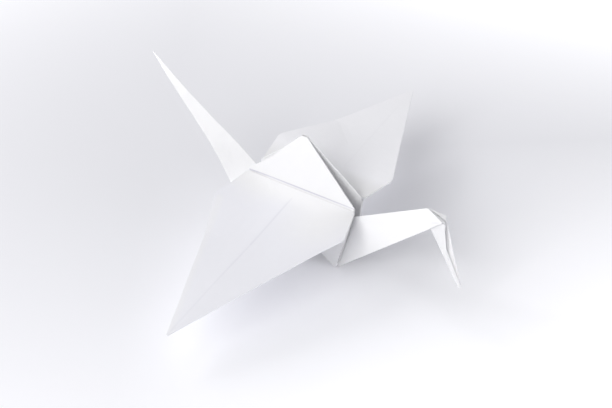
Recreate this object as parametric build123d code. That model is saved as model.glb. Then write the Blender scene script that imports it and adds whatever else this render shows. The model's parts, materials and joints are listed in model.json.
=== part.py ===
from build123d import *
import os
from math import acos, atan2, cos, degrees, hypot, radians, sin, tan

# Folded paper crane, one uncut square sheet, in millimetres.
# Own frame: +X toward the neck, +Y across the wings, +Z up. The crane stands on
# its four belly corners; the origin is under the middle of its box, on the table.

# ---- driving dimensions -------------------------------------------------------
SHEET = 150.0  # side of the square sheet
PAPER = 0.10  # thickness of the paper
PITCH = PAPER + 0.04  # distance from one folded layer to the next
AIR = 0.05  # smallest air gap between layers that lean on each other
HUMP_TILT = 7.9  # each side of the body leans out this far from upright
WING_DROOP = {"near": 9.0, "far": 1.0}  # wings slope down from their root crease
NECK_LIFT = 30.3  # spine of the neck above the level of the hinge
NECK_YAW = -6.0  # neck swings to the near wing
TAIL_LIFT = 27.2
TAIL_YAW = 9.7  # tail swings to the far wing
HEAD_AT = 0.64  # head crease along the neck spine, in half sides of the sheet
HEAD_PITCH = -66.1  # beak points down
HEAD_YAW = 9.2
ROOT_REACH = 0.3  # share of each belly crease along which the inner layers stay joined
GUSSET_SPREAD = 0.7  # foot of each gusset stands this far off the middle of the body
UNDER_WING = 1.5  # the outer layers of the body stop this far below the wing's root
RELIEF = 0.15  # creases stop this much before a corner, so that no layers pinch
NARROW = 11.25  # narrowing crease of the legs, from the leg's middle line
NARROW_NEAR_NECK = 11.85  # that corner was folded a little wide of the middle

HALF = SHEET / 2
BISECT = tan(radians(22.5))  # kite creases of the bird base


# ---- small vector helpers -----------------------------------------------------
def rad_dir(lift, yaw, sense):
    """Unit vector raised by lift and swung by yaw, along +X or -X."""
    level = cos(radians(lift))
    return Vector(sense * level * cos(radians(yaw)), level * sin(radians(yaw)), sin(radians(lift)))


def crossing(p, q, r, s):
    """Where the line p-q meets the line r-s in the flat fold."""
    ux, uy = q[0] - p[0], q[1] - p[1]
    vx, vy = s[0] - r[0], s[1] - r[1]
    k = ((r[0] - p[0]) * vy - (r[1] - p[1]) * vx) / (ux * vy - uy * vx)
    return (p[0] + k * ux, p[1] + k * uy)


def mirrored(p, a, b):
    """Point p reflected over the line a-b in the flat fold."""
    length = hypot(b[0] - a[0], b[1] - a[1])
    ux, uy = (b[0] - a[0]) / length, (b[1] - a[1]) / length
    along = (p[0] - a[0]) * ux + (p[1] - a[1]) * uy
    return (2 * (a[0] + along * ux) - p[0], 2 * (a[1] + along * uy) - p[1])


def affine(flat, solid):
    """Map of the plane that carries the three flat points onto the three solid ones."""
    (ax, ay), (bx, by), (cx, cy) = flat
    det = (bx - ax) * (cy - ay) - (cx - ax) * (by - ay)

    def place(p):
        u = ((p[0] - ax) * (cy - ay) - (cx - ax) * (p[1] - ay)) / det
        v = ((bx - ax) * (p[1] - ay) - (p[0] - ax) * (by - ay)) / det
        return solid[0] + (solid[1] - solid[0]) * u + (solid[2] - solid[0]) * v

    return place


# ---- flat fold of one quarter of the bird base ----------------------------------
# Half sides of the sheet, wings up: x from the middle line toward the leg, y up
# from the hinge. The leg tip is (0, -1), the wing tip (0, 1), the sheet's centre
# (0, BISECT); P is the corner where all the kite creases meet.
TIP, WINGTIP, CENTRE, HUB = (0.0, -1.0), (0.0, 1.0), (0.0, BISECT), (0.0, 0.0)
CORNER_P = (BISECT, 0.0)


def quarter(narrow, lift):
    """Flat points of one quarter, for its narrowing crease and the lift of its leg."""
    slope = tan(radians(narrow))
    far = (slope * 2, 1.0)
    g = crossing(TIP, far, CENTRE, CORNER_P)
    q = crossing(TIP, far, HUB, CORNER_P)
    k = crossing(TIP, far, WINGTIP, CORNER_P)
    turned = (lift - 90) / 2
    b = crossing(TIP, far, HUB, (cos(radians(turned)), sin(radians(turned))))
    p = mirrored(CORNER_P, TIP, far)
    h = crossing(TIP, p, HUB, b)
    return dict(G=g, Q=q, K=k, B=b, P=p, H=h)


FLAT = {
    ("near", "neck"): quarter(NARROW_NEAR_NECK, NECK_LIFT),
    ("near", "tail"): quarter(NARROW, TAIL_LIFT),
    ("far", "neck"): quarter(NARROW, NECK_LIFT),
    ("far", "tail"): quarter(NARROW, TAIL_LIFT),
}
SIDES = {"near": -1, "far": 1}
ENDS = {"neck": 1, "tail": -1}


# ---- facets and creases -----------------------------------------------------------
class Facet:
    """One flat piece of the sheet between creases, at its place in the stack of layers."""

    def __init__(self, corners, level, outward):
        self.names = list(corners)
        self.points = [corners[name] * 1.0 for name in self.names]
        normal = (self.points[1] - self.points[0]).cross(self.points[2] - self.points[1])
        normal = normal.normalized()
        self.level = level
        self.normal = normal if normal.dot(outward) > 0 else normal * -1
        self.middle = sum(self.points, Vector(0, 0, 0)) * (1 / len(self.points))
        count = len(self.names)
        self.inset = [0.0] * count
        self.trim = [[0.0, 0.0] for _ in range(count)]
        self.folded = [False] * count
        self.least = {}

    def edge(self, start, end):
        """Index of the edge between two named corners, and whether it runs that way."""
        count = len(self.names)
        for i in range(count):
            pair = (self.names[i], self.names[(i + 1) % count])
            if pair == (start, end):
                return i, True
            if pair == (end, start):
                return i, False
        raise ValueError((start, end, self.names))

    def along(self, i):
        return (self.points[(i + 1) % len(self.points)] - self.points[i]).normalized()

    def inward(self, i):
        across = self.normal.cross(self.along(i))
        return across if across.dot(self.middle - self.points[i]) > 0 else across * -1

    def need(self, i):
        """How far the inset edge i has to stop from each of its two corners."""
        count = len(self.points)
        found = []
        for other, corner in ((i - 1) % count, i), ((i + 1) % count, (i + 1) % count):
            one, two = self.along(i), self.along(other)
            if corner == i:
                two = two * -1
            else:
                one = one * -1
            angle = acos(max(-1.0, min(1.0, one.dot(two))))
            here, there = self.inset[i], self.inset[other]
            sharp = self.folded[i] or self.folded[other]
            margin = RELIEF if sharp else 0.0
            room = (there + here * cos(angle)) / sin(angle) + margin
            found.append(max(room, self.least.get((i, corner), 0.0)))
        return found

    def ends(self, i):
        """The two ends of the inset and trimmed edge i, on the middle of the paper."""
        shift = self.inward(i) * self.inset[i] + self.normal * self.level
        start, end = self.points[i], self.points[(i + 1) % len(self.points)]
        run = self.along(i)
        return [start + run * self.trim[i][0] + shift, end - run * self.trim[i][1] + shift]


FACETS = {}
CREASES = []


def add(key, corners, level, outward):
    FACETS[key] = Facet(corners, level, outward)


def fold(a, b, edge_a, edge_b, inset_a, inset_b=None, reach=None):
    """Crease that joins two facets. The insets leave room for its bend; a reach says
    how far from its first corner the layers stay joined before they part."""
    inset_b = inset_a if inset_b is None else inset_b
    CREASES.append((a, b, edge_a, edge_b, reach))
    for key, pair, inset in ((a, edge_a, inset_a), (b, edge_b, inset_b)):
        facet = FACETS[key]
        i, _ = facet.edge(*pair)
        facet.inset[i] = inset
        facet.folded[i] = True


def raw(key, start, end, inset):
    facet = FACETS[key]
    facet.inset[facet.edge(start, end)[0]] = inset


def hold(key, corner, toward, distance):
    """Keep the edge from a corner toward another at least this far back from the corner."""
    facet = FACETS[key]
    facet.least[facet.edge(corner, toward)[0], facet.names.index(corner)] = distance


# ---- places of the folded groups ----------------------------------------------------
APEX = Vector(0, 0, BISECT) * HALF
ROOT = Vector(0, 0, 0)
NECK_DIR = rad_dir(NECK_LIFT, NECK_YAW, 1)
TAIL_DIR = rad_dir(TAIL_LIFT, TAIL_YAW, -1)
HEAD_DIR = rad_dir(HEAD_PITCH, HEAD_YAW, 1)
BEND = ROOT + NECK_DIR * (HEAD_AT * HALF)
BEAK = BEND + HEAD_DIR * ((1 - HEAD_AT) * HALF)
TAIL_TIP = ROOT + TAIL_DIR * HALF


def panel_map(side):
    """Side of the body: the flat fold leaned out about the apex."""
    sense, lean = SIDES[side], radians(HUMP_TILT)

    def place(p):
        down = BISECT - p[1]
        return Vector(p[0], sense * down * sin(lean), BISECT - down * cos(lean)) * HALF

    return place


def signed(point, end):
    return (ENDS[end] * point[0], point[1])


def wing_map(side):
    """Wing plane beyond the root crease, which joins the two ridge corners G."""
    place = panel_map(side)
    tail = signed(FLAT[side, "tail"]["G"], "tail")
    neck = signed(FLAT[side, "neck"]["G"], "neck")
    width = hypot(neck[0] - tail[0], neck[1] - tail[1])
    run = (place(neck) - place(tail)).normalized()
    out = Vector(0, SIDES[side], 0)
    out = (out - run * out.dot(run)).normalized()
    up = run.cross(out)
    up = up if up.Z > 0 else up * -1
    droop = radians(WING_DROOP[side])
    slope = out * cos(droop) - up * sin(droop)
    ex, ey = (neck[0] - tail[0]) / width, (neck[1] - tail[1]) / width

    def map_point(p):
        dx, dy = p[0] - tail[0], p[1] - tail[1]
        return place(tail) + run * ((dx * ex + dy * ey) * HALF) + slope * ((dy * ex - dx * ey) * HALF)

    down = run.cross(slope)
    down = down if down.Z < 0 else down * -1
    return map_point, down, slope


def v_inset(half, depth=0.0):
    """Distance from a sharp V's edge at which a layer this deep inside clears the middle."""
    return (AIR / 2 + (depth + PAPER / 2) * cos(half)) / sin(half)


# ---- body and wings ---------------------------------------------------------------------
def body_side(side):
    place = panel_map(side)
    wing, down, slope = wing_map(side)
    out = (place((1, 0)) - place((0, 0))).cross(place((0, 1)) - place((0, 0))).normalized()
    out = out if out.Y * SIDES[side] > 0 else out * -1
    pts = {}
    for end in ENDS:
        for name, point in FLAT[side, end].items():
            pts[name, end] = signed(point, end)
    ridge_t, ridge_n = pts["G", "tail"], pts["G", "neck"]
    middle = crossing(ridge_t, ridge_n, (0, 0), (0, 1))
    panel = {key: place(value) for key, value in pts.items()}
    spread = {key: wing(value) for key, value in pts.items()}
    tip = wing(WINGTIP)
    turn = radians(90 + HUMP_TILT + WING_DROOP[side]) / 2

    def root_inset(level):
        return (level + PAPER / 2) * tan(turn) + 0.1

    # hump: the sheet's centre and the strip down to the hinge
    add((side, "hump"), {
        "O": place(CENTRE), "Gn": panel["G", "neck"], "Qn": panel["Q", "neck"],
        "Qt": panel["Q", "tail"], "Gt": panel["G", "tail"],
    }, PITCH, out)
    add((side, "wing root"), {
        "Qn": panel["Q", "neck"], "Gn": panel["G", "neck"],
        "Gt": panel["G", "tail"], "Qt": panel["Q", "tail"],
    }, 2 * PITCH, out)
    add((side, "wing"), {
        "Gt": panel["G", "tail"], "Gn": panel["G", "neck"], "Kn": spread["K", "neck"],
        "A": tip, "Kt": spread["K", "tail"],
    }, 2 * PITCH, down)
    fold((side, "hump"), (side, "wing root"), ("Qn", "Qt"), ("Qn", "Qt"), PAPER)
    fold((side, "wing root"), (side, "wing"), ("Gn", "Gt"), ("Gn", "Gt"), root_inset(2 * PITCH))

    for end in ENDS:
        e = end[0]
        g, q, k = panel["G", end], panel["Q", end], spread["K", end]
        b, p, h = panel["B", end], panel["P", end], panel["H", end]
        vee = crossing(pts["K", end], pts["P", end], ridge_t, ridge_n)
        v, c, hub = place(vee), place(middle), place(HUB)
        key = side, end
        add((*key, "leaf"), {"C": c, "G": g, "B": b, "H": hub}, 3 * PITCH, out)
        add((*key, "leaf wing"), {"C": c, "G": g, "K": k, "A": tip}, 3 * PITCH, down)
        add((*key, "flap"), {"V": v, "G": g, "B": b, "H": h, "P": p}, 4 * PITCH, out)
        add((*key, "flap wing"), {"V": v, "G": g, "K": k}, 4 * PITCH, down)
        add((*key, "cheek"), {"V": v, "G": g, "Q": q, "P": p}, 5 * PITCH, out)
        add((*key, "cheek wing"), {"V": v, "G": g, "K": k}, 5 * PITCH, down)
        add((*key, "hump flap"), {"G": g, "Q": q, "P": p}, 6 * PITCH, out)
        add((*key, "leg flap"), {"G": g, "P": p, "H": h, "B": b}, 7 * PITCH, out)
        # gusset between the two sides of the body, in two triangles
        foot = ROOT + Vector(0, SIDES[side] * GUSSET_SPREAD, 0)
        add((*key, "gusset top"), {"O": place(CENTRE), "G": g, "M": foot}, -PITCH / 3, out)
        add((*key, "gusset low"), {"G": g, "B": b, "M": foot}, -PITCH / 3, out)
        # the narrowing crease: four nested turns on the body, two on the wing
        fold((*key, "leaf"), (*key, "flap"), ("G", "B"), ("G", "B"), PAPER + 3 * PITCH)
        # facets that run across both ends name their corners with the end's letter
        fold((side, "hump"), (*key, "hump flap"), ("G" + e, "Q" + e), ("G", "Q"), PAPER + PITCH)
        fold((side, "wing root"), (*key, "cheek"), ("G" + e, "Q" + e), ("G", "Q"), PAPER + 2 * PITCH)
        fold((*key, "gusset low"), (*key, "leg flap"), ("G", "B"), ("G", "B"), PAPER)
        fold((side, "wing"), (*key, "cheek wing"), ("G" + e, "K" + e), ("G", "K"), PAPER)
        fold((*key, "leaf wing"), (*key, "flap wing"), ("G", "K"), ("G", "K"), PAPER + PITCH)
        # outer wing edge, free edges of the two leaves, corner flap on the wing
        fold((side, "wing"), (*key, "leaf wing"), ("A", "K" + e), ("A", "K"), PAPER)
        fold((*key, "flap wing"), (*key, "cheek wing"), ("K", "V"), ("K", "V"), PAPER)
        raw((*key, "leaf wing"), "A", "C", 0.12)
        raw((*key, "leaf"), "H", "C", 0.12)
        # root crease of the wing, through all four of its layers
        fold((*key, "leaf"), (*key, "leaf wing"), ("C", "G"), ("C", "G"), root_inset(3 * PITCH))
        fold((*key, "flap"), (*key, "flap wing"), ("V", "G"), ("V", "G"), root_inset(4 * PITCH))
        fold((*key, "cheek"), (*key, "cheek wing"), ("V", "G"), ("V", "G"), root_inset(5 * PITCH))
        # inner folds of the corner that was turned out
        fold((*key, "flap"), (*key, "cheek"), ("P", "V"), ("P", "V"), PAPER)
        fold((*key, "cheek"), (*key, "hump flap"), ("Q", "P"), ("Q", "P"), PAPER)
        fold((*key, "hump flap"), (*key, "leg flap"), ("G", "P"), ("G", "P"), PAPER)
        fold((*key, "flap"), (*key, "leg flap"), ("P", "H"), ("P", "H"), PAPER + 0.12)
        # the outer two layers stay clear of the underside of the wing
        hold((*key, "leg flap"), "G", "P", UNDER_WING / sin(radians(22.5)))
        hold((*key, "leg flap"), "G", "B", UNDER_WING)
        hold((*key, "hump flap"), "G", "Q", UNDER_WING)
        # ridge from the apex, and the line where the gusset bends
        fold((side, "hump"), (*key, "gusset top"), ("O", "G" + e), ("O", "G"), PAPER)
        fold((*key, "gusset top"), (*key, "gusset low"), ("G", "M"), ("G", "M"), 0.12)


# ---- neck, head and tail ------------------------------------------------------------------
def half_angle(one, two):
    """Half the opening between two facets that meet in a V, from their outward normals."""
    between = acos(max(-1.0, min(1.0, one.dot(two))))
    return (radians(180) - between) / 2


def leg(end, direction, tip, cut):
    """Leg turned inside out between the sides of the body: four layers on each side."""
    bend = ROOT + direction * (cut * HALF)
    corners = {side: panel_map(side)(signed(FLAT[side, end]["B"], end)) for side in SIDES}
    normals = {}
    for side in SIDES:
        normal = (corners[side] - ROOT).cross(direction).normalized()
        normals[side] = normal if normal.Y * SIDES[side] > 0 else normal * -1
    vee = half_angle(normals["near"], normals["far"])
    for side in SIDES:
        flat, key, out = FLAT[side, end], (side, end), normals[side]
        spot = affine((HUB, flat["B"], (0.0, -cut)), (ROOT, corners[side], bend))
        if cut < 1.0:
            low, slot = head_crease(flat, cut)
            skin = {"M": spot(HUB), "B": spot(flat["B"]), "L": spot(low), "S": bend}
            flap = {"M": spot(flat["H"]), "B": spot(flat["B"]), "L": spot(low), "S": spot(slot)}
        else:
            skin = {"M": spot(HUB), "B": spot(flat["B"]), "S": tip}
            flap = {"M": spot(flat["H"]), "B": spot(flat["B"]), "S": tip}
        below = "L" if cut < 1.0 else "S"
        add((*key, "skin"), skin, -PITCH, out)
        add((*key, "lining"), skin, -2 * PITCH, out)
        add((*key, "lining flap"), flap, -3 * PITCH, out)
        add((*key, "skin flap"), flap, -4 * PITCH, out)
        fold((*key, "skin"), (*key, "skin flap"), ("B", below), ("B", below), PAPER)
        fold((*key, "lining"), (*key, "lining flap"), ("B", below), ("B", below), PAPER + PITCH)
        deep = v_inset(vee, 4 * PITCH) + PAPER
        fold((*key, "lining flap"), (*key, "skin flap"), ("M", "S"), ("M", "S"), deep)
        raw((*key, "lining"), "M", "S", v_inset(vee, 2 * PITCH) + 0.05)
        # belly corner: the leg turns up inside the body; away from the corner the
        # inner layers part from the crease, because the body stands open
        nested = PAPER + 3 * PITCH
        fold((*key, "gusset low"), (*key, "skin"), ("B", "M"), ("B", "M"), nested)
        for layer, body, hub, step in (("lining", "leaf", "H", 2), ("lining flap", "flap", "H", 1),
                                       ("skin flap", "leg flap", "H", 0)):
            fold((*key, body), (*key, layer), ("B", hub), ("B", "M"), PAPER + step * PITCH,
                 reach=ROOT_REACH * (corners[side] - ROOT).length)
    spine = v_inset(vee, PITCH)
    fold(("near", end, "skin"), ("far", end, "skin"), ("M", "S"), ("M", "S"), spine)
    gussets = {side: FACETS[side, end, "gusset top"].normal for side in SIDES}
    valley = v_inset(half_angle(gussets["near"], gussets["far"]))
    fold(("near", end, "gusset top"), ("far", end, "gusset top"), ("O", "M"), ("O", "M"), valley)
    return normals, vee


def head_crease(flat, cut):
    """Lower end of the head crease, and where it meets the edge of the inner flap."""
    turn = acos(NECK_DIR.dot(HEAD_DIR)) / 2
    start = (0.0, -cut)
    onward = (sin(turn), -cut - cos(turn))
    low = crossing(start, onward, TIP, flat["G"])
    slot = start if abs(flat["P"][0]) < 1e-9 else crossing(start, onward, TIP, flat["P"])
    return low, slot


def head(normals, vee):
    """Head turned inside out between the two sides of the neck."""
    stack = 8 * PITCH
    turn = acos(NECK_DIR.dot(HEAD_DIR)) / 2
    down = (normals["near"] + normals["far"]).normalized()
    down = down if down.Z < 0 else down * -1
    drop = stack / sin(vee)
    start = BEND + down * drop + NECK_DIR * (drop * cos(vee) / tan(turn))
    lows, outs = {}, {}
    for side in SIDES:
        neck = FACETS[side, "neck", "skin"]
        lows[side] = neck.points[neck.names.index("L")] - normals[side] * stack
        out = (lows[side] - start).cross(BEAK - start).normalized()
        outs[side] = out if out.dot(normals[side]) > 0 else out * -1
    mouth = half_angle(outs["near"], outs["far"])
    for side in SIDES:
        key = side, "head"
        low, slot = head_crease(FLAT[side, "neck"], HEAD_AT)
        spot = affine(((0.0, -HEAD_AT), low, TIP), (start, lows[side], BEAK))
        skin = {"S": start, "L": lows[side], "T": BEAK}
        flap = {"S": spot(slot), "L": lows[side], "T": BEAK}
        for step, layer in enumerate(("skin", "lining", "lining flap", "skin flap")):
            shape = flap if "flap" in layer else skin
            add((*key, layer), shape, step * PITCH, outs[side])
            room = PAPER + step * PITCH
            if step < 2:
                fold((side, "neck", layer), (*key, layer), ("L", "S"), ("L", "S"), room)
            else:
                # the two innermost layers are parted at this small crease
                raw((side, "neck", layer), "L", "S", room)
                raw((*key, layer), "L", "S", room)
        fold((*key, "skin"), (*key, "skin flap"), ("L", "T"), ("L", "T"), PAPER)
        fold((*key, "lining"), (*key, "lining flap"), ("L", "T"), ("L", "T"), PAPER + PITCH)
        fold((*key, "lining flap"), (*key, "skin flap"), ("S", "T"), ("S", "T"), PAPER + 0.1)
        raw((*key, "lining"), "S", "T", 0.1)
    fold(("near", "head", "skin"), ("far", "head", "skin"), ("S", "T"), ("S", "T"), v_inset(mouth))


# ---- from facets and creases to one closed skin --------------------------------------------
def settle_trims():
    """Every crease ends at the same place on both of its facets."""
    for facet in FACETS.values():
        for i in range(len(facet.names)):
            facet.trim[i] = facet.need(i)
    for a, b, edge_a, edge_b, reach in CREASES:
        (i, way_a), (j, way_b) = FACETS[a].edge(*edge_a), FACETS[b].edge(*edge_b)
        one, two = FACETS[a].trim[i], FACETS[b].trim[j]
        for k in (0, 1):
            ka, kb = (k, 1 - k)[not way_a], (k, 1 - k)[not way_b]
            one[ka] = two[kb] = max(one[ka], two[kb])
        if reach is not None:
            for facet, n, way in ((FACETS[a], i, way_a), (FACETS[b], j, way_b)):
                whole = (facet.points[(n + 1) % len(facet.points)] - facet.points[n]).length
                facet.trim[n][1 if way else 0] = whole - reach


def outline(facet):
    """Corners of the facet after insets and trims, and which of its edges are creases."""
    loop = []
    for i in range(len(facet.names)):
        start, end = facet.ends(i)
        for point, is_fold in ((start, facet.folded[i]), (end, False)):
            if loop and (loop[-1][0] - point).length < 1e-7:
                loop[-1] = (loop[-1][0], is_fold)
            else:
                loop.append((point, is_fold))
    if (loop[-1][0] - loop[0][0]).length < 1e-7:
        loop.pop()
    return loop


def plate_faces(facet):
    """Upper and lower face of a facet, and its walls wherever it isn't folded."""
    loop = outline(facet)
    lift = facet.normal * (PAPER / 2)
    upper = [point + lift for point, _ in loop]
    lower = [point - lift for point, _ in loop]
    faces = [upper, lower[::-1]]
    for i, (_, is_fold) in enumerate(loop):
        j = (i + 1) % len(loop)
        if not is_fold:
            faces.append([lower[i], lower[j], upper[j], upper[i]])
    return faces


def crease_faces(a, b, edge_a, edge_b):
    """The bend between two facets: a chamfer, or a squared turn where the sheet doubles back."""
    parts = []
    for key, pair in ((a, edge_a), (b, edge_b)):
        facet = FACETS[key]
        i, forward = facet.edge(*pair)
        points = facet.ends(i)
        parts.append((points if forward else points[::-1], facet.inward(i) * -1))
    (line_a, away_a), (line_b, away_b) = parts
    run_a = (line_a[1] - line_a[0]).normalized()
    run_b = (line_b[1] - line_b[0]).normalized()
    top_a, top_b = run_a.cross(away_a), away_b.cross(run_b)
    half = PAPER / 2
    turn = degrees(acos(max(-1.0, min(1.0, -away_a.dot(away_b)))))
    gap = (line_b[0] + line_b[1]) * 0.5 - (line_a[0] + line_a[1]) * 0.5
    outside = 1 if gap.dot(top_a) < 0 else -1
    rings = []
    for k in (0, 1):
        outer = [line_a[k] + top_a * (outside * half)]
        if turn > 125:
            round_off = PAPER * 0.35
            outer.append(outer[0] + away_a * PAPER - top_a * (outside * round_off))
            last = line_b[k] + top_b * (outside * half)
            outer.append(last + away_b * PAPER - top_b * (outside * round_off))
        outer.append(line_b[k] + top_b * (outside * half))
        inner = [line_b[k] - top_b * (outside * half), line_a[k] - top_a * (outside * half)]
        rings.append(outer + inner)
    count = len(rings[0])
    near_end = rings[0][::-1]
    if count == 6:
        near_end = [rings[0][(3 - i) % count] for i in range(count)]
    faces = [near_end, rings[1]]
    for i in range(count):
        j = (i + 1) % count
        on_plate = i in (count - 1, count - 3)
        if i == count - 2:
            # same diagonal as the outer skin, where the bend is a little twisted
            faces.append([rings[0][j], rings[1][j], rings[1][i], rings[0][i]])
        elif not on_plate:
            faces.append([rings[0][i], rings[0][j], rings[1][j], rings[1][i]])
    return faces


def flat_pieces(polygon):
    """The polygon itself where it is plane, and smaller pieces where it isn't."""
    base = polygon[0]
    normal = Vector(0, 0, 0)
    for p, q in zip(polygon[1:], polygon[2:]):
        normal += (p - base).cross(q - base)
    normal = normal.normalized()
    if all(abs((p - base).dot(normal)) < 1e-7 for p in polygon):
        return [polygon]
    if len(polygon) == 6:
        # end of a squared turn: two corners and the band between them
        a, b, c, d, e, f = polygon
        return [[a, b, f], [b, c, e], [b, e, f], [c, d, e]]
    return [[base, p, q] for p, q in zip(polygon[1:], polygon[2:])]


def all_polygons():
    for side in SIDES:
        body_side(side)
    normals, vee = leg("neck", NECK_DIR, BEAK, HEAD_AT)
    leg("tail", TAIL_DIR, TAIL_TIP, 1.0)
    head(normals, vee)
    settle_trims()
    polygons = []
    for facet in FACETS.values():
        polygons += plate_faces(facet)
    for a, b, edge_a, edge_b, _ in CREASES:
        polygons += crease_faces(a, b, edge_a, edge_b)
    return [piece for polygon in polygons for piece in flat_pieces(polygon)]


def crane():
    """One closed solid, levelled on its belly corners and centred over the table."""
    faces = [Face(Wire.make_polygon(polygon, close=True)) for polygon in all_polygons()]
    body = Solid(Shell(faces))
    belly = {}
    for end in ENDS:
        spots = [panel_map(side)(signed(FLAT[side, end]["B"], end)) for side in SIDES]
        belly[end] = (spots[0] + spots[1]) * 0.5
    slope = belly["neck"] - belly["tail"]
    body = body.rotate(Axis.Y, degrees(atan2(slope.Z, slope.X)))
    box = body.bounding_box()
    return body.moved(Location((-box.center().X, -box.center().Y, -box.min.Z)))


if __name__ == "__main__":
    os.makedirs("parts", exist_ok=True)
    folded_crane = crane()
    export_step(folded_crane, "parts/folded_crane.step")
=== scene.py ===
import json
import math

import bmesh
import bpy
from bpy.props import FloatProperty, FloatVectorProperty, PointerProperty
from mathutils import Matrix, Vector

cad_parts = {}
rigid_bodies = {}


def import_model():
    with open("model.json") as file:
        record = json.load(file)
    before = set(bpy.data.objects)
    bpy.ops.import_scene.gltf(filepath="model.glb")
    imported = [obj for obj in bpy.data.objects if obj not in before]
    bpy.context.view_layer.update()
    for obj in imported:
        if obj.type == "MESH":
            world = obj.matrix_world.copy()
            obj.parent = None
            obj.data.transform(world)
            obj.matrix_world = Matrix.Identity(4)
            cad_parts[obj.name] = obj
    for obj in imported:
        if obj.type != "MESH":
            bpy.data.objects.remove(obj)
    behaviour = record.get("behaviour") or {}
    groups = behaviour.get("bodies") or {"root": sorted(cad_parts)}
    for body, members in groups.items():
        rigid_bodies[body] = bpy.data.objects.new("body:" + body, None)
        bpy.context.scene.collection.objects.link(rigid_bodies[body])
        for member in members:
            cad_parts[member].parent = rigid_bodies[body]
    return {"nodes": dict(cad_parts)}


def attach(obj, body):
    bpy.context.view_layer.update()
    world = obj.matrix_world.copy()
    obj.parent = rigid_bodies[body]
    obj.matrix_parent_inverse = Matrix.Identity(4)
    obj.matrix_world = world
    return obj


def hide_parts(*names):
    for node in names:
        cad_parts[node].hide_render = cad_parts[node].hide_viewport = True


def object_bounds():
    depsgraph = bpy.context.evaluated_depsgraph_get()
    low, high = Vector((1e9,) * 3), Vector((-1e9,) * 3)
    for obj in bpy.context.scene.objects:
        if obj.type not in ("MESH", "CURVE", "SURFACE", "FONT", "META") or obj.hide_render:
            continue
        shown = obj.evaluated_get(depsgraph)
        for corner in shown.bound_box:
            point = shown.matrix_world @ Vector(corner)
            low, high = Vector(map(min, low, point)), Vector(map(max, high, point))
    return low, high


bl_info = {
    "name": "Folded Paper Crane",
    "version": (1, 0, 0),
    "blender": (4, 5, 0),
    "location": "View3D > Sidebar > Crane",
    "description": "Crane folded from one square of plain white paper, on a pale table",
    "category": "Object",
}

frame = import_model()
CAD_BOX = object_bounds()
MM = 0.001

# Lines on the paper, each from one spot to another in millimetres: creases with painted shade along
# them, the near wing's rear edge with a band of painted light, and the neck's root with painted shade
# in the gap behind it.
RIDGE = ((-12.6, -3.0, 21.95), (24.1, -2.65, 20.75))
WING_CREASE = ((5.3, -7.0, 20.5), (4.9, -27.0, 16.9), (4.0, -63.5, 11.0))
WING_LIT_EDGE = ((-13.4, -17.0, 19.5), (3.6, -62.5, 11.2))
FAR_CREASE = ((10.2, 14.2, 21.15), (5.9, 61.0, 20.2))
NECK_ROOT = ((25.0, -2.95, 20.2), (20.6, -6.35, 2.0))

# Where the paper is eased, in millimetres: the spot, how far the push reaches, the push.
NUDGES = (
    ((-57.09, 10.50, 40.81), 16.0, (-2.12, 1.27, 1.18)),  # tail tip
    ((56.99, -3.54, 10.03), 9.0, (1.47, -0.64, -1.86)),  # beak
    ((3.84, -63.03, 11.08), 25.0, (-0.01, -0.28, -0.31)),  # near wingtip
    ((6.13, 63.11, 20.12), 25.0, (0.06, 0.48, 0.50)),  # far wingtip
    ((-14.53, -15.59, 19.37), 14.0, (-1.10, -0.09, 0.76)),  # near wing, rear corner
    ((26.30, -14.01, 18.37), 10.0, (0.74, 0.53, 0.02)),  # near wing, front corner
    ((-14.13, 15.50, 21.14), 20.0, (-0.59, 1.10, 1.69)),  # far wing, rear corner
    ((-11.46, -2.71, 21.89), 7.0, (-0.81, -0.43, 0.15)),  # near ridge, rear
)

# The head, folded down at the neck's end: its top and tip, the directions square to its crease
# and to its middle plane, and the ways in which it is widened and opened.
HEAD_TOP = (50.86, -4.57, 30.27)
BEAK_TIP = (57.75, -2.76, 6.88)
HEAD_CREASE_FACE = (0.331, 0.137, 0.933)
HEAD_MIDDLE_FACE = (0.0153, 0.9965, 0.0817)
HEAD_WIDTH = (0.980, -0.070, 0.188)
HEAD_OPENING = (0.891, -0.089, 0.445)
HEAD_START = 0.9  # below the crease
HEAD_RIM = 2.4  # below the crease, the part that is swung
HEAD_SWING = 1.74
HEAD_LENGTH = 21.0
NECK_END = 50.6
HALF_SKIN = 0.12  # nearer to the middle plane than this is the spine

# The tail: how far along its middle lies, a spot on its spine and the way across it.
TAIL_MIDDLE = (-42.0, -34.0)
TAIL_SPINE = (-35.5, 5.9, 31.8)
TAIL_WIDTH = (-0.374, 0.093, -0.923)
TAIL_REACH = 22.0

# The near wing: the direction square to it, its span, and how its crease stands and it sags.
NEAR_WING_FACE = (0.0319, -0.1685, 0.9852)
NEAR_WING_SPAN = (-17.0, 30.0)
NEAR_WING_INNER = -9.0
NEAR_WING_LOWEST = 8.0
CREASE_HEIGHT = 0.22
CREASE_REACH = 5.0
WING_SAG = 0.5
WING_SAG_SPOT = (6.0, -27.0, 17.3)
WING_SAG_REACH = 24.0
HAIR = 0.01  # nearer to a line than this is on it

# Where the near wing's painted shade and the far wing's painted light begin and are full, out from the
# middle of the body.
NEAR_WING_SHADE_FADE = (5.5, 13.0)
FAR_WING_LIGHT_FADE = (7.0, 14.0)

# Painted light: lighter patches beside the near wing's root, at the neck's side and at the tail's side.
NECK_PATCH = (17.0, -11.0, 18.5)
NECK_PATCH_REACH = 15.0
TAIL_PATCH = (-6.0, -8.0, 20.5)
TAIL_PATCH_REACH = 9.0

# Painted light: the table glows least at one spot, and more along and across from there.
DIMMEST_SPOT = (-63.0, 12.7, 0.0)
SHADE_ALONG = (0.834, 0.551, 0.0)
SHADE_ACROSS = (-0.571, 0.821, 0.0)
SHADE_UNIT = 100 * MM

# The spot that the camera faces.
AIM = (3.88, 2.19, 11.91)


# ---- small helpers for modelling in edit mode -----------------------------------
def only(piece):
    """Make one object the only selected and active one."""
    if bpy.context.mode != "OBJECT":
        bpy.ops.object.mode_set(mode="OBJECT")
    bpy.ops.object.select_all(action="DESELECT")
    piece.select_set(True)
    bpy.context.view_layer.objects.active = piece


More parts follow.
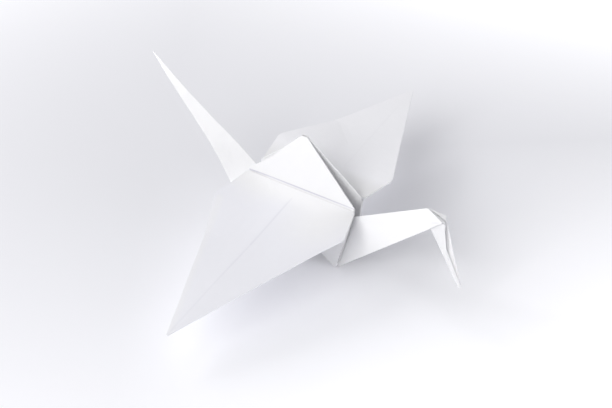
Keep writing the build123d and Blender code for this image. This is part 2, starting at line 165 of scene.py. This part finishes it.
def choose(piece, wanted, kind="VERT"):
    """Select, in edit mode, the vertices or faces whose place passes the test."""
    bpy.ops.mesh.select_mode(type=kind)
    bpy.ops.mesh.select_all(action="DESELECT")
    mesh = bmesh.from_edit_mesh(piece.data)
    parts = mesh.verts if kind == "VERT" else mesh.faces
    count = 0
    for part in parts:
        at = part.co if kind == "VERT" else part.calc_center_median()
        if wanted(at):
            part.select_set(True)
            count += 1
    mesh.select_flush_mode()
    bmesh.update_edit_mesh(piece.data)
    return count


def push(shift, reach, falloff="LINEAR"):
    """Move the chosen vertices, in millimetres, and fade the move out over the reach."""
    bpy.ops.transform.translate(
        value=Vector(shift) * MM,
        use_proportional_edit=True,
        proportional_edit_falloff=falloff,
        proportional_size=reach * MM,
    )


def ease(piece, spot, reach, shift, falloff="LINEAR"):
    """Push the paper at one spot, in millimetres, with a falloff round it."""
    spot = Vector(spot) * MM
    near = 1.2 * MM
    while not choose(piece, lambda at: (at - spot).length < near):
        near *= 1.5
    push(shift, reach, falloff)


def stretch(along, times, about, reach=0.0):
    """Scale the chosen vertices along one direction, and fade it out over the reach, in millimetres."""
    one = Vector(along).normalized()
    two = one.orthogonal().normalized()
    bpy.ops.transform.resize(
        value=(times, 1.0, 1.0),
        orient_type="GLOBAL",
        orient_matrix=Matrix((one, two, one.cross(two))).transposed(),
        orient_matrix_type="GLOBAL",
        constraint_axis=(True, False, False),
        center_override=Vector(about) * MM,
        use_proportional_edit=reach > 0.0,
        proportional_edit_falloff="SMOOTH",
        proportional_size=max(reach, 1.0) * MM,
    )


def slice_across(axis, low, high, cell):
    """Cut the whole sheet with parallel planes, one to each cell along the axis."""
    for i in range(int((high - low) / cell)):
        bpy.ops.mesh.select_all(action="SELECT")
        place = Vector(axis) * (low + cell / 2 + i * cell)
        bpy.ops.mesh.bisect(plane_co=place, plane_no=axis, use_fill=False)


# ---- shader maths -----------------------------------------------------------------
class Wire:
    """A shader socket that takes part in sums."""

    def __init__(self, tree, socket):
        self.tree = tree
        self.socket = socket

    def sum(self, operation, one, two):
        made = node(self.tree, "ShaderNodeMath", {"operation": operation}, {0: one, 1: two})
        return Wire(self.tree, made.outputs[0])

    def __add__(self, other):
        return self.sum("ADD", self, other)

    __radd__ = __add__

    def __mul__(self, other):
        return self.sum("MULTIPLY", self, other)

    __rmul__ = __mul__

    def __sub__(self, other):
        return self.sum("SUBTRACT", self, other)

    def __rsub__(self, other):
        return self.sum("SUBTRACT", other, self)

    def over(self, floor):
        return self.sum("MAXIMUM", self, floor)

    def under(self, top):
        return self.sum("MINIMUM", self, top)


def feed(tree, socket, value):
    """Link a wire or a socket to an input, or set the input to a plain value."""
    if isinstance(value, Wire):
        tree.links.new(value.socket, socket)
    elif isinstance(value, bpy.types.NodeSocket):
        tree.links.new(value, socket)
    elif socket.type == "RGBA":
        socket.default_value = (*value, 1.0)
    else:
        socket.default_value = value


def node(tree, kind, settings=None, inputs=None, **values):
    """Add a node: its settings first, then its sockets, by their number or by their name."""
    made = tree.nodes.new(kind)
    for name, value in (settings or {}).items():
        setattr(made, name, value)
    for number, value in (inputs or {}).items():
        feed(tree, made.inputs[number], value)
    for name, value in values.items():
        feed(tree, made.inputs[name.replace("_", " ")], value)
    return made


def vector(tree, operation, one, two, output="Vector"):
    """Vector sum of two sockets or plain vectors."""
    made = node(tree, "ShaderNodeVectorMath", {"operation": operation}, {0: one, 1: two})
    return made.outputs[output]


def measure(tree, operation, one, two=(0, 0, 0)):
    """Number that a vector sum gives, as a wire."""
    return Wire(tree, vector(tree, operation, one, two, "Value"))


def ramp(tree, value, low, high):
    """0 below the low value, 1 above the high one, and soft between."""
    settings = {"interpolation_type": "SMOOTHSTEP"}
    made = node(tree, "ShaderNodeMapRange", settings, Value=value, From_Min=low, From_Max=high)
    return Wire(tree, made.outputs["Result"])


def mix(tree, amount, one, two):
    """Colour between two colours or sockets."""
    made = node(tree, "ShaderNodeMix", {"data_type": "RGBA"}, {0: amount, 6: one, 7: two})
    return made.outputs[2]


def noise(tree, place, scale, detail, roughness):
    """Cloudy pattern from 0 to 1."""
    made = node(
        tree, "ShaderNodeTexNoise", Vector=place, Scale=scale, Detail=detail, Roughness=roughness)
    return Wire(tree, made.outputs["Fac"])


def line_mask(tree, place, one, two, width):
    """1 on the line between two spots in millimetres, fading to 0 over its width."""
    one, two = Vector(one) * MM, Vector(two) * MM
    from_one = vector(tree, "SUBTRACT", place, one)
    along = (two - one) / (two - one).length_squared
    part = measure(tree, "DOT_PRODUCT", from_one, along).over(0.0).under(1.0)
    nearest = node(tree, "ShaderNodeCombineXYZ", X=part, Y=part, Z=part).outputs["Vector"]
    off = vector(tree, "SUBTRACT", from_one, vector(tree, "MULTIPLY", nearest, two - one))
    return 1.0 - ramp(tree, measure(tree, "LENGTH", off), 0.0, width * MM)


def spot_mask(tree, place, spot, reach):
    """1 at a spot in millimetres, fading to 0 at its reach."""
    return 1.0 - ramp(tree, measure(tree, "DISTANCE", place, Vector(spot) * MM), 0.0, reach * MM)


def paper_finish(settings):
    """Plain uncoated paper: soft cloudy tone, fine fibres and a matt face, with painted light and shade
    on the wings, along the creases and in the gap behind the neck.
    """
    made = bpy.data.materials.new("paper_with_painted_light_and_shade")
    made.use_nodes = True
    tree = made.node_tree
    shader = tree.nodes["Principled BSDF"]
    place = node(tree, "ShaderNodeTexCoord").outputs["Object"]
    cloud = noise(tree, place, scale=420.0, detail=4.0, roughness=0.6)
    fibre = noise(tree, place, scale=4200.0, detail=2.0, roughness=0.5)
    tone = painted_wing_light_and_shade(tree, place, settings)
    tone = painted_crease_shade(tree, place, tone, settings)
    mottle = ((cloud - 0.5) * 0.5 + (fibre - 0.5) * 0.2 + 0.25).over(0.0).under(1.0)
    # The paper's cloudy mottle, which leans towards the creases' painted-shade colour.
    tone = mix(tree, mottle * settings.mottle, tone, settings.crease)
    feed(tree, shader.inputs["Base Color"], tone)
    feed(tree, shader.inputs["Roughness"], 0.86 + fibre * 0.1)
    height = fibre * 0.4 + cloud
    bump = node(tree, "ShaderNodeBump", Height=height, Strength=0.25, Distance=settings.fibre)
    feed(tree, shader.inputs["Normal"], bump.outputs["Normal"])
    shader.inputs["Specular IOR Level"].default_value = 0.25
    shader.inputs["Subsurface Weight"].default_value = 0.2
    shader.inputs["Subsurface Radius"].default_value = (1.0, 1.0, 1.0)
    shader.inputs["Subsurface Scale"].default_value = settings.glow
    return made


def painted_wing_light_and_shade(tree, place, settings):
    """Painted light and shade: the near wing painted darker and bluer and the far wing painted lighter
    than the body, with painted light in patches beside the near wing's root and in a band along its
    rear edge.
    """
    across = Wire(tree, node(tree, "ShaderNodeSeparateXYZ", Vector=place).outputs["Y"])
    # Painted shade on the near wing and painted light on the far wing, growing out from the middle of
    # the body.
    near_wing_painted_shade = ramp(tree, across * -1.0, *(edge * MM for edge in NEAR_WING_SHADE_FADE))
    far_wing_painted_light = ramp(tree, across, *(edge * MM for edge in FAR_WING_LIGHT_FADE))
    tone = mix(tree, near_wing_painted_shade, settings.tone, settings.near_wing_painted_shade)
    tone = mix(tree, far_wing_painted_light, tone, settings.far_wing_painted_light)
    # Painted light: patches beside the near wing's root take back the body's paper colour, lighter than
    # the wing's painted shade.
    lit = spot_mask(tree, place, NECK_PATCH, NECK_PATCH_REACH) * 0.9
    lit = lit + spot_mask(tree, place, TAIL_PATCH, TAIL_PATCH_REACH) * 0.5
    tone = mix(tree, lit.under(1.0), tone, settings.tone)
    # Painted light: a band along the near wing's rear edge, half back to the body's paper colour.
    painted_edge_light = line_mask(tree, place, *WING_LIT_EDGE, 2.2)
    return mix(tree, painted_edge_light * 0.5, tone, settings.tone)


def painted_crease_shade(tree, place, tone, settings):
    """Painted shade: thin grey lines along the creases and the hump's ridge, and dark painted shade in
    the gap behind the neck.
    """
    # Painted shade along the near wing's crease, the far wing's crease and the hump's ridge.
    shaded = line_mask(tree, place, *WING_CREASE[:2], 0.6) * 0.34
    shaded = shaded.over(line_mask(tree, place, *WING_CREASE[1:], 0.55) * 0.2)
    shaded = shaded + line_mask(tree, place, *FAR_CREASE, 0.5) * 0.06
    shaded = shaded + line_mask(tree, place, *RIDGE, 0.42)
    tone = mix(tree, shaded.under(1.0), tone, settings.crease)
    # Painted shade: near-black painted on the neck's side in the gap behind the body's edge, over the
    # real gap.
    gap = (line_mask(tree, place, *NECK_ROOT, 0.75) * 1.8).under(0.94)
    return mix(tree, gap, tone, settings.gap)


def floor_finish(settings):
    """Pale matt table top, with painted light: it glows whiter away from the crane."""
    made = bpy.data.materials.new("table_with_painted_glow")
    made.use_nodes = True
    tree = made.node_tree
    shader = tree.nodes["Principled BSDF"]
    shader.inputs["Base Color"].default_value = (*settings.floor, 1.0)
    shader.inputs["Roughness"].default_value = 0.9
    shader.inputs["Specular IOR Level"].default_value = 0.1
    place = node(tree, "ShaderNodeTexCoord").outputs["Object"]
    place = vector(tree, "SUBTRACT", place, Vector(DIMMEST_SPOT) * MM)
    ahead = measure(tree, "DOT_PRODUCT", place, Vector(SHADE_ALONG) / SHADE_UNIT)
    aside = measure(tree, "DOT_PRODUCT", place, Vector(SHADE_ACROSS) / SHADE_UNIT)
    before, behind = ahead.over(0.0), (ahead * -1.0).over(0.0)
    left, right = aside.over(0.0), (aside * -1.0).over(0.0)
    # Painted light: the glow grows with the square of the distance from the dimmest spot.
    pale = before * before * 0.045 + behind * behind * 0.06 + left * left * 0.083
    pale = pale + right * right * 0.103 + before * left * 0.187 + before * right * 0.16
    glow = mix(tree, (pale * settings.pale).under(1.0), (0.0, 0.0, 0.0), (0.99, 0.99, 1.0))
    feed(tree, shader.inputs["Emission Color"], glow)
    shader.inputs["Emission Strength"].default_value = 1.0
    return made


# ---- settings -------------------------------------------------------------------
class CranePaper(bpy.types.PropertyGroup):
    tone: FloatVectorProperty(
        name="Paper", description="Colour of the paper", subtype="COLOR",
        default=(0.85, 0.85, 0.857), min=0.0, max=1.0)
    # Painted shade: the near wing's paper painted darker and bluer than the body's.
    near_wing_painted_shade: FloatVectorProperty(
        name="Near wing", description="Colour of the near wing, where light comes through",
        subtype="COLOR", default=(0.825, 0.827, 0.868), min=0.0, max=1.0)
    # Painted light: the far wing's paper painted lighter than the body's.
    far_wing_painted_light: FloatVectorProperty(
        name="Far wing", description="Colour of the far wing, where light comes through",
        subtype="COLOR", default=(0.97, 0.97, 1.0), min=0.0, max=1.0)
    # Painted shade: the grey painted along the creases; the paper's cloudy mottle also leans towards
    # this colour.
    crease: FloatVectorProperty(
        name="Crease", description="Colour in the scored creases", subtype="COLOR",
        default=(0.58, 0.58, 0.64), min=0.0, max=1.0)
    # Painted shade: the dark colour painted in the gap behind the neck.
    gap: FloatVectorProperty(
        name="Gap", description="Colour deep in the gap behind the neck", subtype="COLOR",
        default=(0.12, 0.12, 0.14), min=0.0, max=1.0)
    mottle: FloatProperty(
        name="Mottle", description="How much the paper's tone clouds", default=0.16)
    glow: FloatProperty(
        name="Light through", description="How far light spreads inside the paper",
        default=0.15 * MM, unit="LENGTH")
    cell: FloatProperty(
        name="Cell", description="Spacing of the cuts that let the paper bend",
        default=3.0 * MM, unit="LENGTH", min=1.5 * MM)
    fibre: FloatProperty(
        name="Fibre height", description="Height of the paper's fibres",
        default=0.02 * MM, unit="LENGTH")
    head: FloatProperty(
        name="Head", description="How much the folded-down head is widened", default=2.3)
    near_head: FloatProperty(
        name="Head's near half", description="How much the near half is narrowed", default=0.74)
    far_head: FloatProperty(
        name="Head's far half", description="How much the far half is opened", default=1.5)
    tail: FloatProperty(
        name="Tail", description="How much the tail is slimmed half-way along", default=0.72)


class CraneStage(bpy.types.PropertyGroup):
    floor: FloatVectorProperty(
        name="Table", description="Colour of the table", subtype="COLOR",
        default=(0.838, 0.84, 0.872), min=0.0, max=1.0)
    # Painted light: how strongly the table glows away from the crane.
    pale: FloatProperty(
        name="Paler edges", description="How much paler the table gets away from the crane",
        default=1.0)
    azimuth: FloatProperty(
        name="Camera azimuth", description="Camera's turn round the crane",
        default=math.radians(34.78), subtype="ANGLE")
    elevation: FloatProperty(
        name="Camera elevation", description="Camera's angle above the table",
        default=math.radians(36.32), subtype="ANGLE")
    roll: FloatProperty(
        name="Camera roll", description="Camera's turn about its own axis",
        default=math.radians(-2.2), subtype="ANGLE")
    distance: FloatProperty(
        name="Camera distance", description="From the camera to the middle of the crane",
        default=321.98 * MM, unit="LENGTH")
    lens: FloatProperty(
        name="Lens", description="Focal length, in millimetres of a 36 mm sensor",
        default=63.465)
    key: FloatProperty(
        name="Key light", description="Power of the large soft light at the near side",
        default=5.3, unit="POWER")
    rear: FloatProperty(
        name="Rear light", description="Power of the soft light behind the tail",
        default=4.2, unit="POWER")
    high: FloatProperty(
        name="High light", description="Power of the soft light high behind the near wing",
        default=2.0, unit="POWER")
    fill: FloatProperty(
        name="Fill light", description="Power of the low fill ahead of the beak",
        default=2.3, unit="POWER")
    sky: FloatProperty(
        name="Room light", description="Strength of the even room light", default=0.229)


# ---- the crane --------------------------------------------------------------------
class CRANE_OT_fold(bpy.types.Operator):
    """Shape the crane: the frame's folded sheet, cut fine enough to bend, and eased at its corners"""

    bl_idname = "crane.fold"
    bl_label = "Folded crane"

    def execute(self, context):
        settings = context.scene.crane_paper
        source = frame["nodes"]["folded_crane"]
        only(source)
        bpy.ops.object.duplicate()
        piece = context.view_layer.objects.active
        bpy.ops.object.parent_clear(type="CLEAR_KEEP_TRANSFORM")
        for key in [k for k in piece.keys() if k.startswith("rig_")]:
            del piece[key]
        bpy.ops.mesh.customdata_custom_splitnormals_clear()
        piece.name = "crane_paper"
        piece.data.name = "crane_paper"
        bpy.ops.object.mode_set(mode="EDIT")
        bpy.ops.mesh.select_all(action="SELECT")
        bpy.ops.mesh.remove_doubles(threshold=0.0005 * MM)
        bpy.ops.mesh.select_all(action="SELECT")
        bpy.ops.mesh.dissolve_limited(angle_limit=math.radians(0.2))
        low, high = CAD_BOX
        slice_across((1, 0, 0), low.x, high.x, settings.cell)
        slice_across((0, 1, 0), low.y, high.y, settings.cell)
        self.open_head(piece, settings)
        self.slim_tail(piece, settings)
        self.crease_wing(piece)
        for spot, reach, shift in NUDGES:
            ease(piece, spot, reach, shift)
        bpy.ops.object.mode_set(mode="OBJECT")
        bpy.ops.object.shade_flat()
        piece.data.materials.clear()
        piece.data.materials.append(paper_finish(settings))
        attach(piece, "root")
        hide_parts("folded_crane")
        print("crane_paper", len(piece.data.vertices), "vertices", len(piece.data.polygons), "faces")
        return {"FINISHED"}

    def open_head(self, piece, settings):
        """Widen the folded-down head towards its spine, swing it back and open its far half."""
        top, tip = Vector(HEAD_TOP) * MM, Vector(BEAK_TIP) * MM
        below = lambda at: (top - at).dot(Vector(HEAD_CREASE_FACE)) / MM
        aside = lambda at: (at - tip).dot(Vector(HEAD_MIDDLE_FACE)) / MM
        choose(piece, lambda at: at.x > NECK_END * MM and below(at) > HEAD_START)
        stretch(HEAD_WIDTH, settings.head, BEAK_TIP)
        bpy.ops.mesh.hide(unselected=True)
        choose(piece, lambda at: below(at) < HEAD_RIM)
        push(Vector(HEAD_WIDTH) * -HEAD_SWING, HEAD_LENGTH)
        choose(piece, lambda at: aside(at) < -HALF_SKIN)
        stretch(HEAD_OPENING, settings.near_head, BEAK_TIP)
        choose(piece, lambda at: aside(at) > HALF_SKIN)
        stretch(HEAD_OPENING, settings.far_head, BEAK_TIP)
        bpy.ops.mesh.reveal(select=False)

    def slim_tail(self, piece, settings):
        """Draw the tail's lower edges towards its spine, most in the middle."""
        rear, front = TAIL_MIDDLE
        choose(piece, lambda at: rear * MM < at.x < front * MM)
        stretch(TAIL_WIDTH, settings.tail, TAIL_SPINE, TAIL_REACH)

    def crease_wing(self, piece):
        """Score the near wing's slanting crease and let the wing sag a little."""
        one, two = (Vector(spot) * MM for spot in WING_CREASE[::2])
        face = Vector(NEAR_WING_FACE)
        across = (two - one).cross(face).normalized()
        (rear, front), inner, lowest = NEAR_WING_SPAN, NEAR_WING_INNER, NEAR_WING_LOWEST
        on_wing = lambda at: at.y < inner * MM and at.z > lowest * MM and rear * MM < at.x < front * MM
        choose(piece, on_wing, "FACE")
        bpy.ops.mesh.bisect(plane_co=one, plane_no=across, use_fill=False)
        choose(piece, lambda at: on_wing(at) and abs((at - one).dot(across)) < HAIR * MM)
        push(face * CREASE_HEIGHT, CREASE_REACH)
        ease(piece, WING_SAG_SPOT, WING_SAG_REACH, face * -WING_SAG, "SMOOTH")


# ---- table, lights and camera ------------------------------------------------------
def soft_light(name, azimuth, elevation, size, power, colour):
    """Square area light, 1 m off, that faces the crane from the given angles in degrees."""
    az, el = math.radians(azimuth), math.radians(elevation)
    towards = Vector((math.cos(az) * math.cos(el), math.sin(az) * math.cos(el), math.sin(el)))
    turn = towards.to_track_quat("Z", "Y").to_euler()
    bpy.ops.object.light_add(type="AREA", location=towards, rotation=turn)
    lamp = bpy.context.object
    lamp.name = name
    lamp.data.shape = "SQUARE"
    lamp.data.size = size
    lamp.data.energy = power
    lamp.data.color = colour
    return lamp


class CRANE_OT_stage(bpy.types.Operator):
    """Lay the pale table, hang the soft lights and place the camera"""

    bl_idname = "crane.stage"
    bl_label = "Table and light"

    def execute(self, context):
        settings = context.scene.crane_stage
        bpy.ops.object.select_all(action="DESELECT")
        bpy.ops.mesh.primitive_plane_add(size=6.0, location=(0, 0, -0.02 * MM))
        floor = context.object
        floor.name = "table_top"
        bpy.ops.object.transform_apply(location=True, rotation=True, scale=True)
        floor.data.materials.append(floor_finish(settings))

        soft_light("side_window", 270, 35, 0.6, settings.key, (1.0, 0.995, 0.985))
        soft_light("rear_window", 180, 35, 0.6, settings.rear, (1.0, 0.995, 0.985))
        soft_light("high_window", 225, 60, 0.8, settings.high, (0.985, 0.985, 1.0))
        soft_light("low_fill", 0, 12, 0.6, settings.fill, (0.96, 0.965, 1.0))

        world = bpy.data.worlds.new("room")
        context.scene.world = world
        world.use_nodes = True
        sky = world.node_tree.nodes["Background"]
        sky.inputs["Color"].default_value = (0.97, 0.975, 1.03, 1.0)
        sky.inputs["Strength"].default_value = settings.sky

        az, el = settings.azimuth, settings.elevation
        back = Vector((math.sin(az) * math.cos(el), -math.cos(az) * math.cos(el), math.sin(el)))
        across = Vector((0, 0, 1)).cross(back).normalized()
        up = back.cross(across)
        c, s = math.cos(settings.roll), math.sin(settings.roll)
        right, top = across * c + up * s, up * c - across * s
        turn = Matrix((right, top, back)).transposed().to_euler()
        aim = Vector(AIM) * MM
        bpy.ops.object.camera_add(location=aim + back * settings.distance, rotation=turn)
        camera = context.object
        camera.name = "view_camera"
        camera.data.lens = settings.lens
        camera.data.sensor_width = 36.0
        camera.data.sensor_fit = "HORIZONTAL"
        camera.data.clip_start = 0.01
        camera.data.clip_end = 20.0
        context.scene.camera = camera
        context.scene.view_settings.view_transform = "Standard"
        return {"FINISHED"}


class CRANE_PT_sidebar(bpy.types.Panel):
    """The crane's steps and settings"""

    bl_idname = "CRANE_PT_sidebar"
    bl_label = "Paper crane"
    bl_space_type = "VIEW_3D"
    bl_region_type = "UI"
    bl_category = "Crane"

    def draw(self, context):
        layout = self.layout
        for step, group in ((CRANE_OT_fold, "crane_paper"), (CRANE_OT_stage, "crane_stage")):
            layout.operator(step.bl_idname)
            settings = getattr(context.scene, group)
            for name in settings.__annotations__:
                layout.prop(settings, name)


CLASSES = (CranePaper, CraneStage, CRANE_OT_fold, CRANE_OT_stage, CRANE_PT_sidebar)


def register():
    for made in CLASSES:
        bpy.utils.register_class(made)
    bpy.types.Scene.crane_paper = PointerProperty(type=CranePaper)
    bpy.types.Scene.crane_stage = PointerProperty(type=CraneStage)


def unregister():
    del bpy.types.Scene.crane_stage
    del bpy.types.Scene.crane_paper
    for made in reversed(CLASSES):
        bpy.utils.unregister_class(made)


def main():
    register()
    bpy.ops.crane.fold()
    bpy.ops.crane.stage()


if __name__ == "__main__":
    main()
